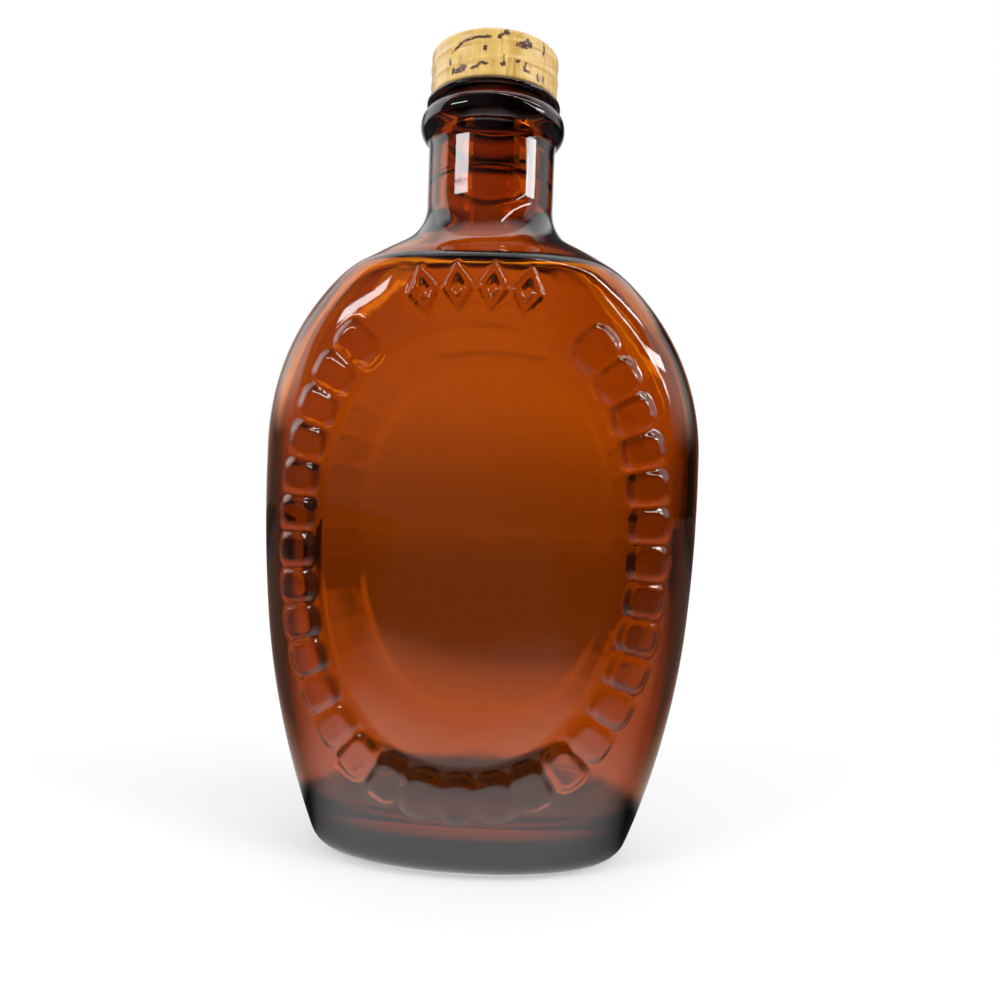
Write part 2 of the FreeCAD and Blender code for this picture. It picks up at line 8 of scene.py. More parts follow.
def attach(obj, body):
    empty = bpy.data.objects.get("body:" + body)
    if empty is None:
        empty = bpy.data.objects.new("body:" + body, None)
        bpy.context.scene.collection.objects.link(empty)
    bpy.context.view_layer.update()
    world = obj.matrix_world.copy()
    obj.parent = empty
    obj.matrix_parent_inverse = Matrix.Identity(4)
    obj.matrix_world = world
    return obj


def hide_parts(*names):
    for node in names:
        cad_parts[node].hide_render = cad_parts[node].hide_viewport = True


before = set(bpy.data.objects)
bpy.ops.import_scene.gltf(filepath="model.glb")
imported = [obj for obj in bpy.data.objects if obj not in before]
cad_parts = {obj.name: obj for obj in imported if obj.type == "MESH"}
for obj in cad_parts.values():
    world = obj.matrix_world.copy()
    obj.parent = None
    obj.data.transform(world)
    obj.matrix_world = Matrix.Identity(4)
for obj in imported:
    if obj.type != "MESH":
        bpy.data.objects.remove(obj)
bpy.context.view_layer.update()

# Amber glass flask with a printed metal screw cap.  Z is up and the front faces -Y.  Sizes of the pieces are
# millimetres, which MM turns into metres; the studio is in metres.
MM = 0.001
PI = math.pi

# oval body, front outline
WAIST, BELT_LOW, BELT_HIGH = 65.85, 114.0, 120.0
UPPER_FLANK, FLANK_BREAK, LOWER_FLANK = 480.0, 70.0, 230.0
SHOULDER, NECK_FLARE, NECK = 68.0, 15.0, 19.3
SHOULDER_RISE = math.sqrt((SHOULDER + NECK_FLARE) ** 2 - (NECK + NECK_FLARE - WAIST + SHOULDER) ** 2)
SHOULDER_TOP = BELT_HIGH + SHOULDER_RISE
# oval body, side outline
HALF_DEPTH, FACE_LOW, FACE_HIGH, LOWER_FACE, BROW = 33.0, 70.0, SHOULDER_TOP - 25.6, 640.0, 6.0
# oval exponents at base, waist and brow
BASE_ROUND, WAIST_ROUND, BROW_ROUND = 2.1, 2.25, 2.75
# heel outside and inside, wall, thickness of the base, and its push-up
HEEL, INNER_HEEL, WALL, FLOOR = 8.0, 15.0, 3.0, 8.0
PUSH_UP, PUSH_UP_MARGIN, PUSH_UP_POWER = 2.6, 6.0, 0.7
# outside of collar and locking ring
COLLAR, COLLAR_LOW, COLLAR_HIGH, COLLAR_ROUND = 22.1, SHOULDER_TOP + 19.6, SHOULDER_TOP + 29.4, 4.6
GROOVE, RING, RING_LOW, RING_HIGH, RING_SHARE = 18.0, 20.5, COLLAR_HIGH + 0.8, COLLAR_HIGH + 3.0, 0.95
CREASE, FINISH_CREASE, CREASE_STEP, FINISH_FOOT = 0.4, 0.3, 0.05, 2.0
# finish, lip and bore
FINISH, LIP, LIP_ROUND = 17.6, RING_HIGH + 13.6, 1.2
BORE, BORE_ROUND, LEDGE = 14.0, 0.8, COLLAR_LOW - 9.2
# inside of the neck, downwards: straight bore, the stretch where it opens with its seam ridge, and the throat
BORE_HIGH, BORE_LOW, OPEN_HIGH, OPEN_LOW = LIP - 2.0, LEDGE + 1.5, LEDGE + 1.0, LEDGE - 5.0
SEAM, SEAM_DROP, SEAM_SPREAD = 0.25, 2.0, 0.8
THROAT, THROAT_START, THROAT_HIGH, THROAT_LOW = 14.3, LEDGE - 6.0, SHOULDER_TOP + 2.0, SHOULDER_TOP - 14.0
# border of pads
BORDER_WIDE, BORDER_HIGH, BORDER_MID, BORDER_ROUND, BORDER_WIDEN = 50.1, 68.8, 91.9, 2.25, 0.021
PAD_COUNT, PAD_PITCH, PAD_LONG, PAD_WIDE, PAD_CORNER, PAD_RISE = 31, 10.36, 13.2, 11.0, 4.2, 1.1
PAD_SLOPE, PAD_FOOT, PAD_LEVELLING, PAD_REACH = 2.9, 0.35, 0.6, 6.0
# sunk panel and plaque, the lozenges on it, and how much of the pads the back has
PANEL_INSET, FIELD_DEPTH, FIELD_EDGE, BACK_SHARE = 7.0, 0.45, 1.5, 0.15
PLAQUE_HALF, PLAQUE_BEND, PLAQUE_CORNER = 21.8, 75.0, 4.5
PLAQUE_LOW, PLAQUE_HIGH = FACE_HIGH - 13.4, FACE_HIGH + 2.2
LOZENGES, LOZENGE_W, LOZENGE_H, LOZENGE_PITCH = 4, 4.2, 6.0, 9.6
STROKE, STROKE_RISE, STROKE_FOOT = 2.1, 1.25, 0.62
# heights between which the face may be raised or sunk
RELIEF_LOW, RELIEF_HIGH = 12.0, 175.0


# ------------------------------------------------------------------ outlines
def heel(arc_x, arc_z, arc_radius, floor, radius):
    """Round between floor and wall: its centre's x and z, and the height where it meets the wall's arc."""
    z = floor + radius
    reach = arc_radius - radius
    return arc_x + math.sqrt(reach ** 2 - (arc_z - z) ** 2), z, z + radius * (z - arc_z) / reach


def front_arcs(inset, floor, heel_round):
    """Half width from base to neck, as tangent arcs.

    Each row is centre x, centre z, radius, bulge (1 out, -1 in, 0 straight) and the height where it ends."""
    lean = math.asin((BELT_LOW - FLANK_BREAK) / UPPER_FLANK)
    x = WAIST - UPPER_FLANK + (UPPER_FLANK - LOWER_FLANK) * math.cos(lean)
    z = BELT_LOW - (UPPER_FLANK - LOWER_FLANK) * math.sin(lean)
    hx, hz, ht = heel(x, z, LOWER_FLANK - inset, floor, heel_round)
    top = SHOULDER_TOP
    turn = BELT_HIGH + (SHOULDER - inset) * (top - BELT_HIGH) / (SHOULDER + NECK_FLARE)
    return [
        (hx, hz, heel_round, 1, ht),
        (x, z, LOWER_FLANK - inset, 1, z - (LOWER_FLANK - inset) * math.sin(lean)),
        (WAIST - UPPER_FLANK, BELT_LOW, UPPER_FLANK - inset, 1, BELT_LOW),
        (WAIST - inset, BELT_LOW, 0.0, 0, BELT_HIGH),
        (WAIST - SHOULDER, BELT_HIGH, SHOULDER - inset, 1, turn),
        (NECK + NECK_FLARE, top, NECK_FLARE + inset, -1, top),
    ]


def side_arcs(inset, floor, heel_round):
    """Half depth from base to neck, as the same kind of rows."""
    hx, hz, ht = heel(HALF_DEPTH - LOWER_FACE, FACE_LOW, LOWER_FACE - inset, floor, heel_round)
    top = SHOULDER_TOP
    across, rise = HALF_DEPTH - BROW - NECK, top - FACE_HIGH
    flare = (across ** 2 + rise ** 2 - BROW ** 2) / (2 * (across + BROW))
    turn = FACE_HIGH + (BROW - inset) * rise / (BROW + flare)
    return [
        (hx, hz, heel_round, 1, ht),
        (HALF_DEPTH - LOWER_FACE, FACE_LOW, LOWER_FACE - inset, 1, FACE_LOW),
        (HALF_DEPTH - inset, FACE_LOW, 0.0, 0, FACE_HIGH),
        (HALF_DEPTH - BROW, FACE_HIGH, BROW - inset, 1, turn),
        (NECK + flare, top, flare + inset, -1, top),
    ]


def reach(arcs, z):
    """Distance of an outline from the axis: centre + bulge * sqrt(radius^2 - (z - centre z)^2)."""
    z = np.minimum(z, arcs[-1][4])
    values = [cx + bulge * np.sqrt(np.maximum(r * r - (z - cz) ** 2, 0)) for cx, cz, r, bulge, _ in arcs]
    return np.select([z <= top + 1e-9 for *_, top in arcs], values, values[-1])


def ease(z, low, high):
    """Half a cosine wave: 0 up to low, 1 from high."""
    return (1 - np.cos(PI * np.clip((z - low) / (high - low), 0, 1))) / 2


def soft_step(value, width):
    """0 below -width, 1 above width, a smooth cubic between."""
    t = np.clip(value / (2 * width) + 0.5, 0, 1)
    return t * t * (3 - 2 * t)


def roundness(z):
    """Oval exponent at a height: base, waist, the squarer brow, then the round neck."""
    value = BASE_ROUND + (WAIST_ROUND - BASE_ROUND) * ease(z, 0, BELT_LOW)
    value = value + (BROW_ROUND - WAIST_ROUND) * ease(z, BELT_HIGH, FACE_HIGH)
    return value + (2 - BROW_ROUND) * ease(z, FACE_HIGH, SHOULDER_TOP)


def stretch(marks, steps):
    """Levels from the first mark to the last, evenly divided between marks."""
    runs = [np.linspace(a, b, n, endpoint=False) for a, b, n in zip(marks, marks[1:], steps)]
    return np.concatenate(runs + [[marks[-1]]])


def heel_levels(floor, radius, steps):
    """Levels of a heel, closer together at its foot: floor + radius * (1 - cos), without the last."""
    return floor + radius * (1 - np.cos(np.linspace(0, PI / 2, steps)))[:-1]


def rounded_corner(centre, radius, start, end, steps):
    """Arc of a turned profile: centre + radius * (cos, sin) from one angle in degrees to the other."""
    angles = np.radians(np.linspace(start, end, steps))
    return np.array(centre) + radius * np.stack([np.cos(angles), np.sin(angles)], -1)


# ------------------------------------------------------------------ mesh making
def lay_grid(rows, columns, start):
    """Quads between neighbouring closed rows of a grid: row r, column c is point start + r * columns + c."""
    r, c = np.meshgrid(np.arange(rows - 1), np.arange(columns), indexing="ij")
    n = (c + 1) % columns
    quads = np.stack([r * columns + c, r * columns + n, (r + 1) * columns + n, (r + 1) * columns + c], -1)
    return start + quads.reshape(-1, 4)


def fan(centre, ring, inward):
    """Triangles from a centre point to a ring of points; inward turns them round."""
    after = np.roll(ring, -1)
    pair = (after, ring) if inward else (ring, after)
    return np.stack([np.full_like(ring, centre), *pair], -1)


def make_piece(name, points, faces, material, node):
    """Mesh object in metres from points in millimetres and arrays of faces, smooth all over."""
    mesh = bpy.data.meshes.new(name)
    mesh.vertices.add(len(points))
    mesh.vertices.foreach_set("co", (points * MM).astype(np.float32).ravel())
    corners = np.concatenate([f.ravel() for f in faces])
    sizes = np.concatenate([np.full(len(f), f.shape[1]) for f in faces])
    mesh.loops.add(len(corners))
    mesh.loops.foreach_set("vertex_index", corners.astype(np.int32))
    mesh.polygons.add(len(sizes))
    mesh.polygons.foreach_set("loop_start", (np.cumsum(sizes) - sizes).astype(np.int32))
    mesh.polygons.foreach_set("use_smooth", np.ones(len(sizes), bool))
    mesh.update(calc_edges=True)
    mesh.validate()
    mesh.materials.append(material)
    piece = bpy.data.objects.new(name, mesh)
    bpy.context.scene.collection.objects.link(piece)
    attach(piece, "root")
    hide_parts(node)
    return piece


# ------------------------------------------------------------------ the glass
# columns of a quarter of the oval, and the share of the half width over which they step evenly in x
FACE_SHARE, FACE_STEPS, SIDE_STEPS = 0.88, 64, 10
# rows: the outside is dense between two heights, where the raised work is; the inside is even up to a height
DENSE_LOW, DENSE_HIGH, INNER_EVEN = 15.0, 174.0, 165.0
HEEL_ROWS, OUTER_ROWS = 10, (5, 177, 18, 6)
INNER_HEEL_ROWS, INNER_ROWS = 12, (34, 14, 12)
BASE_ROWS, FLOOR_ROWS, BORE_ROWS, OPENING_ROWS = 17, 12, 9, 13


def ring_shares(n, steps_face, steps_side):
    """Shares (x / half width, y / half depth) round an oval of exponent n, counter-clockwise from +X.

    The face columns step evenly in x up to FACE_SHARE of the half width, |x|^n + |y|^n = 1 gives y;
    the side columns step evenly in y below that."""
    n = np.asarray(n, float)[:, None]
    corner = (1 - FACE_SHARE ** n) ** (1 / n)
    side = corner * np.linspace(0, 1, steps_side, endpoint=False)[None]
    face = np.linspace(FACE_SHARE, 0, steps_face, endpoint=False)[None] + 0 * n
    x = np.concatenate([(1 - side ** n) ** (1 / n), face], 1)
    y = np.concatenate([side, (1 - face ** n) ** (1 / n)], 1)
    first = np.stack([x, y], -1)
    x_again = np.concatenate([0 * n, x[:, :0:-1]], 1)
    y_again = np.concatenate([1 + 0 * n, y[:, :0:-1]], 1)
    half = np.concatenate([first, np.stack([-x_again, y_again], -1)], 1)
    return np.concatenate([half, -half], 1)


def wall_rows(levels, inset, floor, heel_round, steps_face, steps_side):
    """Rows of points on the oval body: half width and half depth from the two outlines at each height."""
    shares = ring_shares(roundness(levels), steps_face, steps_side)
    x = shares[..., 0] * reach(front_arcs(inset, floor, heel_round), levels)[:, None]
    y = shares[..., 1] * reach(side_arcs(inset, floor, heel_round), levels)[:, None]
    return np.stack([x, y, np.broadcast_to(levels[:, None], x.shape)], -1)


def round_rows(profile, steps_face, steps_side):
    """Rows of points turned about the axis from (radius, height) pairs."""
    shares = ring_shares(np.full(len(profile), 2.0), steps_face, steps_side)
    ring = shares * profile[:, :1, None]
    z = np.broadcast_to(profile[:, 1:, None], ring[..., :1].shape)
    return np.concatenate([ring, z], -1)


def border_line(inset, angles):
    """Oval line of the border: x = wide * sin^(2/n), rise = -high * cos^(2/n), widened upwards."""
    wide, high, power = BORDER_WIDE - inset, BORDER_HIGH - inset, 2 / BORDER_ROUND
    s, c = np.sin(angles), np.cos(angles)
    rise = -np.sign(c) * high * np.abs(c) ** power
    return np.sign(s) * wide * np.abs(s) ** power * (1 + BORDER_WIDEN * rise / high), BORDER_MID + rise


def inside_border(x, z, inset):
    """Rough distance inside the inset border line: (1 - (|x/wide|^n + |z/high|^n)^(1/n)) * mean size."""
    wide, high = BORDER_WIDE - inset, BORDER_HIGH - inset
    rise = (z - BORDER_MID) / high
    share = np.abs(x / wide / (1 + BORDER_WIDEN * rise)) ** BORDER_ROUND + np.abs(rise) ** BORDER_ROUND
    return (1 - share ** (1 / BORDER_ROUND)) * (wide * high) ** 0.5


def pad_places():
    """Pad centres (x, z) and directions, evenly spaced along the border both ways from its lowest point."""
    samples, nudge = 4001, 0.5
    x, z = border_line(0.0, np.linspace(0, PI, samples))
    run = np.concatenate([[0], np.cumsum(np.hypot(np.diff(x), np.diff(z)))])
    where = np.arange(PAD_COUNT // 2 + 1) * PAD_PITCH
    px, pz = np.interp(where, run, x), np.interp(where, run, z)
    ahead = np.arctan2(np.interp(where + nudge, run, z) - pz, np.interp(where + nudge, run, x) - px)
    right = np.stack([px, pz, ahead], 1)
    left = right[:0:-1] * [-1, 1, -1]
    return np.concatenate([left, right])


def sheet_depth(x, z):
    """Half depth of the bare body at places on its face: deep * (1 - |x / wide|^n)^(1/n)."""
    n = roundness(z)
    wide, deep = (reach(arcs(0.0, 0.0, HEEL), z) for arcs in (front_arcs, side_arcs))
    return deep * np.maximum(1 - np.abs(x / wide) ** n, 1e-9) ** (1 / n)


def pad_relief(points):
    """Raised pads: over each pad's own nearly flat plane a pillow, the highest wins.

    With u across and v along the border, the distance outside the rounded outline is
    length(max(|u| - a, 0), max(|v| - b, 0)) - corner; height = plane * sin(90 deg * share of the slope)."""
    relief = np.zeros(points.shape[:2])
    step = 0.05
    for x, z, ahead in pad_places():
        here = np.array([x, -sheet_depth(x, z), z])
        slope_x = (sheet_depth(x + step, z) - sheet_depth(x - step, z)) / (2 * step)
        slope_z = (sheet_depth(x, z + step) - sheet_depth(x, z - step)) / (2 * step)
        normal = np.array([-slope_x, -1, -slope_z]) / math.hypot(slope_x, 1, slope_z)
        level = np.array([1, -slope_x, 0]) / math.hypot(1, slope_x)
        upright = np.cross(normal, level)
        turn = ahead - PI / 2
        across = level * math.cos(turn) + upright * math.sin(turn)
        along = np.cross(normal, across)
        offset = points - here
        u, v, drop = offset @ across, offset @ along, -(offset @ normal)
        a, b = PAD_LONG / 2 - PAD_CORNER, PAD_WIDE / 2 - PAD_CORNER
        outside = np.hypot(np.maximum(np.abs(u) - a, 0), np.maximum(np.abs(v) - b, 0)) - PAD_CORNER
        rounded = np.sin(PI / 2 * np.clip((PAD_FOOT - outside) / PAD_SLOPE, 0, 1))
        plane = PAD_RISE + PAD_LEVELLING * drop
        relief = np.maximum(relief, np.where(np.abs(drop) < PAD_REACH, plane * rounded, 0.0))
    return relief


def plaque_frame(x, z):
    """Polar place on the plaque's curved band: run along its middle line and height over its lower edge."""
    centre = PLAQUE_LOW - PLAQUE_BEND
    radius = np.hypot(x, z - centre)
    middle = PLAQUE_BEND + (PLAQUE_HIGH - PLAQUE_LOW) / 2
    return np.arctan2(x, z - centre) * middle, radius - PLAQUE_BEND


def field_sink(x, z):
    """Sunk panel and plaque: FIELD_DEPTH times a soft step inside their outlines."""
    panel = soft_step(inside_border(x, z, PANEL_INSET) - FIELD_EDGE / 2, FIELD_EDGE)
    run, rise = plaque_frame(x, z)
    tall = (PLAQUE_HIGH - PLAQUE_LOW) / 2
    u, v = np.abs(run) - PLAQUE_HALF + PLAQUE_CORNER, np.abs(rise - tall) - tall + PLAQUE_CORNER
    outside = np.hypot(np.maximum(u, 0), np.maximum(v, 0)) + np.minimum(np.maximum(u, v), 0) - PLAQUE_CORNER
    plaque = soft_step(-outside - FIELD_EDGE / 2, FIELD_EDGE)
    return -FIELD_DEPTH * np.maximum(panel, plaque)


def lozenge_relief(x, z):
    """Raised lozenge strokes on the plaque: half-round bars about the line |u|/w + |v|/h = 1."""
    run, rise = plaque_frame(x, z)
    v = rise - (PLAQUE_HIGH - PLAQUE_LOW) / 2
    w, h = LOZENGE_W - STROKE / 2, LOZENGE_H - STROKE / 2
    relief = np.zeros_like(run)
    for k in range(LOZENGES):
        u = run - (k - (LOZENGES - 1) / 2) * LOZENGE_PITCH
        away = np.abs(np.abs(u) / w + np.abs(v) / h - 1) * w * h / math.hypot(w, h)
        bar = np.sqrt(np.maximum(1 - (away / (STROKE * STROKE_FOOT)) ** 2, 0))
        relief = np.maximum(relief, STROKE_RISE * bar)
    return relief


def surface_normals(grid):
    """Unit normals of a grid whose columns close: the step to the next column crossed with the step up."""
    round_step = np.roll(grid, -1, 1) - np.roll(grid, 1, 1)
    up_step = np.gradient(grid, axis=0)
    normal = np.cross(round_step, up_step)
    return normal / np.maximum(np.linalg.norm(normal, axis=-1, keepdims=True), 1e-12)


def outer_wall():
    """Outside rows from the heel to the neck, moved along their normals by the raised and sunk work.

    The back is worked out like the front, turned half round, with BACK_SHARE of the pads and no lozenges."""
    marks = (HEEL, DENSE_LOW, DENSE_HIGH, SHOULDER_TOP, COLLAR_LOW)
    levels = np.concatenate([heel_levels(0.0, HEEL, HEEL_ROWS), stretch(marks, OUTER_ROWS)])
    rows = wall_rows(levels, 0.0, 0.0, HEEL, FACE_STEPS, SIDE_STEPS)
    normals = surface_normals(rows)
    back = rows[..., 1] > 0
    front = rows * np.where(back[..., None], [-1, -1, 1], [1, 1, 1])
    x, z = front[..., 0], front[..., 2]
    pads = pad_relief(front)
    lift = np.where(pads > 0, pads * np.where(back, BACK_SHARE, 1.0), field_sink(x, z))
    lift = lift + np.where(back, 0.0, lozenge_relief(x, z))
    return rows + normals * (lift * (z > RELIEF_LOW) * (z < RELIEF_HIGH))[..., None]


def neck_profile():
    """Outside of collar, groove, locking ring, finish and lip, then round into the bore: (radius, height)."""
    low = (COLLAR - COLLAR_ROUND, COLLAR_LOW + COLLAR_ROUND)
    high = (COLLAR - COLLAR_ROUND, COLLAR_HIGH - COLLAR_ROUND)
    ring_round = (RING_HIGH - RING_LOW) / 2 * RING_SHARE
    ring = (RING - ring_round, (RING_LOW + RING_HIGH) / 2)
    lip = (FINISH - LIP_ROUND, LIP - LIP_ROUND)
    bore = (BORE + BORE_ROUND, LIP - BORE_ROUND)
    return np.concatenate([
        rounded_corner(low, COLLAR_ROUND, -60, 0, 9),
        rounded_corner(high, COLLAR_ROUND, 0, 75, 9),
        [(GROOVE + CREASE, COLLAR_HIGH + CREASE_STEP), (GROOVE, COLLAR_HIGH + CREASE)],
        rounded_corner(ring, ring_round, -85, 85, 11),
        [(FINISH + FINISH_CREASE, RING_HIGH + CREASE_STEP), (FINISH, RING_HIGH + CREASE)],
        np.linspace((FINISH, RING_HIGH + FINISH_FOOT), (FINISH, LIP - LIP_ROUND), 6, endpoint=False),
        rounded_corner(lip, LIP_ROUND, 0, 90, 6),
        rounded_corner(bore, BORE_ROUND, 90, 180, 5),
    ])


def inner_rows():
    """Bore that opens over a low seam ridge, the inside of the neck and body, down to the floor.

    The seam ridge is SEAM * exp(-(distance / spread)^2).  Over the throat the throat's circle and the oval
    inside are mixed, by half a cosine wave of the height."""
    few, fewer = FACE_STEPS // 2, SIDE_STEPS // 2
    straight = np.linspace(BORE_HIGH, BORE_LOW, BORE_ROWS)
    heights = np.concatenate([straight, np.linspace(OPEN_HIGH, OPEN_LOW, OPENING_ROWS)])
    ridge = SEAM * np.exp(-((heights - LEDGE + SEAM_DROP) / SEAM_SPREAD) ** 2)
    open_up = (THROAT - BORE) * ease(-heights, -OPEN_HIGH, -OPEN_LOW)
    bore = round_rows(np.stack([BORE + open_up - ridge, heights], 1), few, fewer)
    marks = (FLOOR + INNER_HEEL, INNER_EVEN, THROAT_LOW, THROAT_START)
    foot = heel_levels(FLOOR, INNER_HEEL, INNER_HEEL_ROWS)
    levels = np.concatenate([foot, stretch(marks, INNER_ROWS)])[::-1]
    body = wall_rows(levels, WALL, FLOOR, INNER_HEEL, few, fewer)
    pipe = round_rows(np.stack([np.full(len(levels), THROAT), levels], 1), few, fewer)
    body = body + (pipe - body) * ease(body[..., 2:], THROAT_LOW, THROAT_HIGH)
    shrink = np.linspace(1, 0, FLOOR_ROWS, endpoint=False)[1:, None, None]
    floor = body[-1][None] * np.concatenate([shrink, shrink, 0 * shrink + 1], -1)
    return np.concatenate([bore, body, floor])


def underside():
    """Base rows from the middle out: z = PUSH_UP * (1 - share^2)^power, 0 outside the push-up's oval."""
    base = np.array([0.0])
    wide, deep = (reach(arcs(0.0, 0.0, HEEL), base)[0] for arcs in (front_arcs, side_arcs))
    share = ring_shares(np.array([BASE_ROUND]), FACE_STEPS, SIDE_STEPS)
    scale = np.linspace(0, 1, BASE_ROWS, endpoint=False)[1:, None]
    x, y = scale * share[..., 0] * wide, scale * share[..., 1] * deep
    left = np.maximum(1 - (x / (wide - PUSH_UP_MARGIN)) ** 2 - (y / (deep - PUSH_UP_MARGIN)) ** 2, 0)
    return np.stack([x, y, PUSH_UP * left ** PUSH_UP_POWER], -1)


def stitch_rings(edge, ring):
    """Triangles between a ring of points and one with half as many: three for each point of the smaller."""
    even, odd = edge[0::2], edge[1::2]
    following, after = np.roll(even, -1), np.roll(ring, -1)
    triples = ((even, odd, ring), (odd, following, after), (odd, after, ring))
    return np.concatenate([np.stack(triple, -1) for triple in triples])


def build_flask(material):
    """One closed skin: base, outside, lip, bore and inside, with half as many columns within the lip."""
    turned_rows = round_rows(neck_profile(), FACE_STEPS, SIDE_STEPS)
    outside = np.concatenate([underside(), outer_wall(), turned_rows])
    inside = inner_rows()
    wide, narrow = outside.shape[1], inside.shape[1]
    middles = [[0, 0, PUSH_UP], [0, 0, FLOOR]]
    points = np.concatenate([outside.reshape(-1, 3), inside.reshape(-1, 3), middles])
    shift = len(outside) * wide
    last = shift + len(inside) * narrow
    faces = [
        fan(last, np.arange(wide), True),
        lay_grid(len(outside), wide, 0),
        stitch_rings(shift - wide + np.arange(wide), shift + np.arange(narrow)),
        lay_grid(len(inside), narrow, shift),
        fan(last + 1, last - narrow + np.arange(narrow), False),
    ]
    return make_piece("glass_flask", points, faces, material, "bottle")


# ------------------------------------------------------------------ the cap
CAP_OUT, CAP_IN, CAP_LOW, CAP_CEILING, CAP_TOP = 19.4, 18.8, RING_HIGH + 0.3, LIP + 0.2, LIP + 0.8
CAP_EDGE, CAP_INNER_EDGE, CEILING_DROP, CAP_COLUMNS = 1.3, 0.8, 1.2, 256
# curled hem: its radius, how far its tip stands in, and heights over its foot of the tip and the wall's ends
HEM_ROUND, HEM_TIP_IN, HEM_TIP, HEM_WALL_IN, HEM_WALL_OUT = 0.55, 0.5, 1.5, 1.9, 0.9
# shallow groove round the top: depth, radius, spread, and the radius where the flat starts
TOP_GROOVE, TOP_GROOVE_AT, TOP_GROOVE_SPREAD, TOP_FLAT = 0.12, 16.5, 0.8, 17.6
# rolled thread: pitch, depth, how far its valleys sink, first height, and (margin, softness) at hem and top
THREAD_PITCH, THREAD_DEPTH, THREAD_SINK, THREAD_START = 5.2, 0.28, 0.35, 1.2
THREAD_FOOT, THREAD_HEAD = (1.6, 0.6), (2.6, 0.8)
# how far from the outside a point still belongs to the wall, and to the wall and the top's edge
WALL_BAND, EDGE_BAND = 0.05, 1.0
# handled cap, a little out of round: size, waves and turn, and how it fades out at the hem
DENT, DENT_WAVES, DENT_TURN, DENT_FADE = 0.05, 3, 0.7, 2
# chips: degrees round from +X, height over the hem, half width and half height, tilt in degrees
CHIPS = (
    (243, 9.6, 2.2, 0.30, 26), (252, 10.7, 2.6, 0.34, 10), (262, 11.0, 1.9, 0.32, -4),
    (268, 11.0, 1.2, 0.4, 0), (279, 11.3, 0.55, 0.75, -30), (284, 12.6, 0.65, 0.75, -20),
    (301, 9.6, 1.3, 0.55, 8), (305, 10.8, 0.8, 1.1, 35), (300, 10.3, 1.9, 0.5, 20),
    (266.5, 7.8, 0.5, 0.7, 0), (322, 11.2, 0.4, 1.6, 0), (233, 5.6, 0.4, 1.0, 20),
    (237, 2.6, 0.5, 0.8, 0), (246, 3.0, 1.1, 0.6, 5), (243, 2.4, 1.5, 0.5, 0),
    (257, 2.6, 0.9, 0.35, 12), (263, 3.6, 0.8, 0.35, 20), (267, 3.4, 0.7, 0.35, 0),
    (282.5, 4.6, 0.22, 1.5, 0), (282, 3.6, 0.75, 0.6, 0), (295, 4.9, 0.5, 0.35, 30),
    (302, 3.9, 0.35, 1.1, -15), (304, 2.8, 0.9, 0.4, 0), (316, 2.0, 0.5, 0.9, 0),
    (323, 2.2, 0.35, 0.9, 0), (60, 2.0, 1.8, 0.7, 5), (95, 12.6, 1.6, 0.5, 0),
    (140, 2.2, 1.3, 0.8, 0), (190, 12.6, 1.0, 0.5, 0), (20, 10.4, 1.2, 0.6, 20),
    (160, 7.4, 0.8, 0.5, 0),
)
# a chip's size over its listed one and its depth of wear at the middle; how far in and down wear may reach
CHIP_GROWTH, CHIP_CORE, WEAR_IN, WEAR_LOW = 1.35, 1.6, 2.2, 0.4


def cap_profile():
    """(radius, height) of the cap from the middle of its ceiling down inside, round the hem and up."""
    hem = (CAP_OUT - HEM_ROUND, CAP_LOW + HEM_ROUND)
    corner = (CAP_IN - CAP_INNER_EDGE, CAP_CEILING - CAP_INNER_EDGE)
    edge = (CAP_OUT - CAP_EDGE, CAP_TOP - CAP_EDGE)
    flat = np.linspace(TOP_FLAT, 0, 22)[:-1]
    grooved = CAP_TOP - TOP_GROOVE * np.exp(-((flat - TOP_GROOVE_AT) / TOP_GROOVE_SPREAD) ** 2)
    return np.concatenate([
        np.linspace((0, CAP_CEILING), (corner[0], CAP_CEILING), 10)[1:],
        rounded_corner(corner, CAP_INNER_EDGE, 90, 0, 5),
        np.linspace((CAP_IN, CAP_CEILING - CEILING_DROP), (CAP_IN, CAP_LOW + HEM_WALL_IN), 8),
        [(CAP_IN - HEM_TIP_IN, CAP_LOW + HEM_TIP)],
        rounded_corner(hem, HEM_ROUND, 180, 360, 9),
        np.linspace((CAP_OUT, CAP_LOW + HEM_WALL_OUT), (CAP_OUT, edge[1]), 40, endpoint=False),
        rounded_corner(edge, CAP_EDGE, 0, 90, 9),
        np.stack([flat, grooved], -1),
    ])


def roll_thread(radius, z, angles):
    """Radius of the wall with its rolled thread and slight dents.

    Thread: depth * (cos^8 of the helix phase - sink), faded in and out over the threaded height.
    Dents: size * sin(waves * angle + turn), faded out at the hem."""
    phase = (z - CAP_LOW - THREAD_START - THREAD_PITCH * angles / (2 * PI)) / THREAD_PITCH
    foot = soft_step(z - CAP_LOW - THREAD_FOOT[0], THREAD_FOOT[1])
    head = soft_step(CAP_TOP - THREAD_HEAD[0] - z, THREAD_HEAD[1])
    wall = (radius > CAP_OUT - WALL_BAND) * foot * head
    radius = radius + THREAD_DEPTH * wall * (np.cos(PI * phase) ** 8 - THREAD_SINK)
    dents = DENT * (radius > CAP_OUT - EDGE_BAND) * np.sin(DENT_WAVES * angles + DENT_TURN)
    return radius + dents * soft_step(z - CAP_LOW - DENT_FADE, DENT_FADE)


